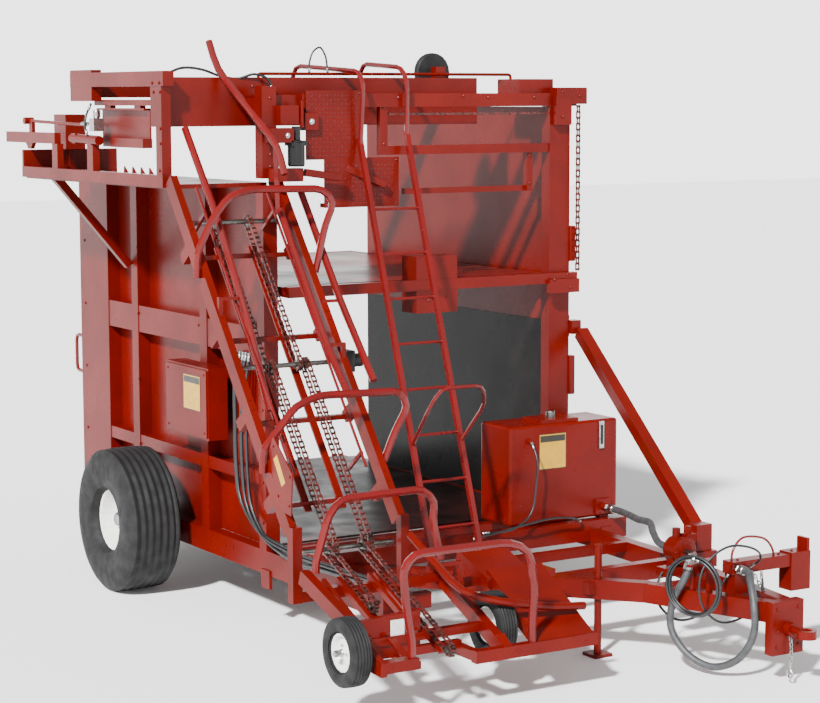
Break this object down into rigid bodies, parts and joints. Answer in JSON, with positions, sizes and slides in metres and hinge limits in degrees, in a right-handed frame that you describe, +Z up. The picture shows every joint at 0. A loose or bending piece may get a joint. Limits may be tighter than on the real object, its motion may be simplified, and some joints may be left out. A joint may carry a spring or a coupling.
{
  "type": "hay bale stacker",
  "caption": "Pull-type stacker for small hay bales: ground pickup, steep chain elevator, top table with pusher, walled stack chamber, ladder, tank and tongue.",
  "frame": {"origin": "middle of the footprint of the whole machine, on the ground", "axes": "+X to the machine's right as seen by its tractor driver looking back, +Y to the rear, +Z up; the tongue points to -Y"},
  "size_m": [3.8705, 6.6268, 4.0134],
  "materials": {
    "base_frame": "gloss red enamel",
    "carriage": "gloss red enamel",
    "chamber_floor": "dark red enamel",
    "control_box": "gloss red enamel",
    "control_box_door": "gloss red enamel",
    "cross_chain": "oiled roller chain with paint overspray",
    "drawbar_hose": "rubber hose cover",
    "drive_motor": "black paint",
    "elevator_frame": "gloss red enamel",
    "foot_shaft": "machined steel",
    "guide_tube_left": "gloss red enamel",
    "guide_tube_middle": "gloss red enamel",
    "guide_tube_right": "gloss red enamel",
    "head_shaft": "machined steel",
    "hitch_ring": "gloss red enamel",
    "hose_coil": "rubber hose cover",
    "jack_leg": "gloss red enamel",
    "ladder": "gloss red enamel",
    "left_gauge_rim": "gloss white enamel",
    "left_gauge_tyre": "matt rubber",
    "left_main_rim": "gloss white enamel",
    "left_main_tyre": "matt rubber",
    "left_nose_shaft": "machined steel",
    "left_wall": "gloss red enamel",
    "lift_chain": "oiled roller chain with paint overspray",
    "lower_chain_left": "oiled roller chain with paint overspray",
    "lower_chain_right": "oiled roller chain with paint overspray",
    "lower_hoop": "gloss red enamel",
    "middle_shaft": "machined steel",
    "oil_pump": "gloss red enamel",
    "oil_tank": "gloss red enamel",
    "overhead_frame": "gloss red enamel",
    "pickup_chain_left": "oiled roller chain with paint overspray",
    "pickup_chain_right": "oiled roller chain with paint overspray",
    "pickup_frame": "gloss red enamel",
    "pickup_hoop_front": "gloss red enamel",
    "pickup_hoop_rear": "gloss red enamel",
    "pump_shaft": "machined steel",
    "pusher_head": "gloss red enamel",
    "rear_handle": "gloss red enamel",
    "rear_stop": "gloss red enamel",
    "right_gauge_rim": "gloss white enamel",
    "right_gauge_tyre": "matt rubber",
    "right_main_rim": "gloss white enamel",
    "right_main_tyre": "matt rubber",
    "right_nose_shaft": "machined steel",
    "right_wall": "gloss red enamel",
    "right_wall_liner": "dark polished sheet",
    "stop_cylinder": "gloss red enamel",
    "suction_hose": "rubber hose cover",
    "table_frame": "gloss red enamel",
    "tank_cap": "machined steel",
    "tongue_frame": "gloss red enamel",
    "tongue_strut": "gloss red enamel",
    "top_sheave": "matt rubber",
    "tread_panel": "gloss red enamel",
    "upper_chain_left": "oiled roller chain with paint overspray",
    "upper_chain_right": "oiled roller chain with paint overspray",
    "upper_hoop": "gloss red enamel",
    "wall_hoses": "rubber hose cover"
  },
  "bodies": {
    "machine": {"base_frame": "base_frame", "chamber_floor": "chamber_floor", "control_box": "control_box", "cross_chain": "cross_chain", "drawbar_hose": "drawbar_hose", "drive_motor": "drive_motor", "elevator_frame": "elevator_frame", "guide_tube_left": "guide_tube_left", "guide_tube_middle": "guide_tube_middle", "guide_tube_right": "guide_tube_right", "hose_coil": "hose_coil", "ladder": "ladder", "left_wall": "left_wall", "lift_chain": "lift_chain", "lower_chain_left": "lower_chain_left", "lower_chain_right": "lower_chain_right", "lower_hoop": "lower_hoop", "oil_pump": "oil_pump", "oil_tank": "oil_tank", "overhead_frame": "overhead_frame", "rear_handle": "rear_handle", "right_wall": "right_wall", "right_wall_liner": "right_wall_liner", "stop_cylinder": "stop_cylinder", "suction_hose": "suction_hose", "table_frame": "table_frame", "tongue_frame": "tongue_frame", "tongue_strut": "tongue_strut", "tread_panel": "tread_panel", "upper_chain_left": "upper_chain_left", "upper_chain_right": "upper_chain_right", "upper_hoop": "upper_hoop", "wall_hoses": "wall_hoses"},
    "left_wheel": {"left_main_tyre": "left_main_tyre", "left_main_rim": "left_main_rim"},
    "right_wheel": {"right_main_tyre": "right_main_tyre", "right_main_rim": "right_main_rim"},
    "lift_carriage": {"carriage": "carriage"},
    "pusher": {"pusher_head": "pusher_head"},
    "rear_bale_stop": {"rear_stop": "rear_stop"},
    "elevator_head_shaft": {"head_shaft": "head_shaft"},
    "elevator_middle_shaft": {"middle_shaft": "middle_shaft"},
    "elevator_foot_shaft": {"foot_shaft": "foot_shaft"},
    "pickup": {"pickup_frame": "pickup_frame", "pickup_chain_left": "pickup_chain_left", "pickup_chain_right": "pickup_chain_right", "pickup_hoop_rear": "pickup_hoop_rear", "pickup_hoop_front": "pickup_hoop_front"},
    "pickup_left_nose": {"left_nose_shaft": "left_nose_shaft"},
    "pickup_right_nose": {"right_nose_shaft": "right_nose_shaft"},
    "left_gauge_wheel": {"left_gauge_tyre": "left_gauge_tyre", "left_gauge_rim": "left_gauge_rim"},
    "right_gauge_wheel": {"right_gauge_tyre": "right_gauge_tyre", "right_gauge_rim": "right_gauge_rim"},
    "box_door": {"control_box_door": "control_box_door"},
    "filler_cap": {"tank_cap": "tank_cap"},
    "jack": {"jack_leg": "jack_leg"},
    "hitch": {"hitch_ring": "hitch_ring"},
    "pump_drive": {"pump_shaft": "pump_shaft"},
    "sheave": {"top_sheave": "top_sheave"}
  },
  "joints": [
    {"name": "left_wheel_spin", "type": "hinge", "parent": "machine", "child": "left_wheel", "pos_m": [-1.431, 1.537, 0.53], "axis": [1, 0, 0], "continuous": true},
    {"name": "right_wheel_spin", "type": "hinge", "parent": "machine", "child": "right_wheel", "pos_m": [1.725, 1.537, 0.53], "axis": [1, 0, 0], "continuous": true},
    {"name": "carriage_lift", "type": "slide", "parent": "machine", "child": "lift_carriage", "axis": [0, 0, 1], "range_m": [-1.45, 0.38]},
    {"name": "pusher_stroke", "type": "slide", "parent": "machine", "child": "pusher", "axis": [1, 0, 0], "range_m": [0, 1.15]},
    {"name": "rear_stop_slide", "type": "slide", "parent": "machine", "child": "rear_bale_stop", "axis": [0, 1, 0], "range_m": [-0.25, 0.1]},
    {"name": "head_shaft_spin", "type": "hinge", "parent": "machine", "child": "elevator_head_shaft", "pos_m": [0.147, -0.09062, 2.79794], "axis": [1, 0, 0], "continuous": true},
    {"name": "middle_shaft_spin", "type": "hinge", "parent": "machine", "child": "elevator_middle_shaft", "pos_m": [0.147, -0.78062, 1.90562], "axis": [1, 0, 0], "continuous": true},
    {"name": "foot_shaft_spin", "type": "hinge", "parent": "machine", "child": "elevator_foot_shaft", "pos_m": [0.147, -1.59062, 0.85812], "axis": [1, 0, 0], "continuous": true},
    {"name": "pickup_tilt", "type": "hinge", "parent": "machine", "child": "pickup", "pos_m": [-1.253, -1.59062, 0.85812], "axis": [1, 0, 0], "range_deg": [-8, 12]},
    {"name": "left_nose_spin", "type": "hinge", "parent": "pickup", "child": "pickup_left_nose", "pos_m": [-1.503, -2.14633, 0.61165], "axis": [1, 0, 0], "continuous": true},
    {"name": "right_nose_spin", "type": "hinge", "parent": "pickup", "child": "pickup_right_nose", "pos_m": [-1.253, -2.601, 0.41], "axis": [1, 0, 0], "continuous": true},
    {"name": "left_gauge_spin", "type": "hinge", "parent": "pickup", "child": "left_gauge_wheel", "pos_m": [-1.873, -2.471, 0.454], "axis": [1, 0, 0], "continuous": true},
    {"name": "right_gauge_spin", "type": "hinge", "parent": "pickup", "child": "right_gauge_wheel", "pos_m": [-0.728, -2.261, 0.425], "axis": [1, 0, 0], "continuous": true},
    {"name": "box_door_hinge", "type": "hinge", "parent": "machine", "child": "box_door", "pos_m": [-1.2733, 1.164, 1.485], "axis": [0, 0, 1], "range_deg": [-85, 0]},
    {"name": "filler_cap_turn", "type": "hinge", "parent": "machine", "child": "filler_cap", "pos_m": [1.007, -0.411, 1.35], "axis": [0, 0, 1], "range_deg": [0, 270]},
    {"name": "jack_slide", "type": "slide", "parent": "machine", "child": "jack", "axis": [0, 0, 1], "range_m": [0, 0.3]},
    {"name": "hitch_swivel", "type": "hinge", "parent": "machine", "child": "hitch", "pos_m": [0.924, -3.081, 0.35], "axis": [0, 1, 0], "range_deg": [-90, 90]},
    {"name": "pump_spin", "type": "hinge", "parent": "machine", "child": "pump_drive", "pos_m": [0.907, -2.111, 0.66], "axis": [0, 1, 0], "continuous": true},
    {"name": "sheave_spin", "type": "hinge", "parent": "machine", "child": "sheave", "pos_m": [0.487, 0.359, 3.8], "axis": [0, 1, 0], "continuous": true}
  ],
  "couplings": [
    {"joint": "middle_shaft_spin", "follows": "head_shaft_spin", "ratio": 1},
    {"joint": "foot_shaft_spin", "follows": "head_shaft_spin", "ratio": 1},
    {"joint": "left_nose_spin", "follows": "head_shaft_spin", "ratio": 1},
    {"joint": "right_nose_spin", "follows": "head_shaft_spin", "ratio": 1}
  ]
}
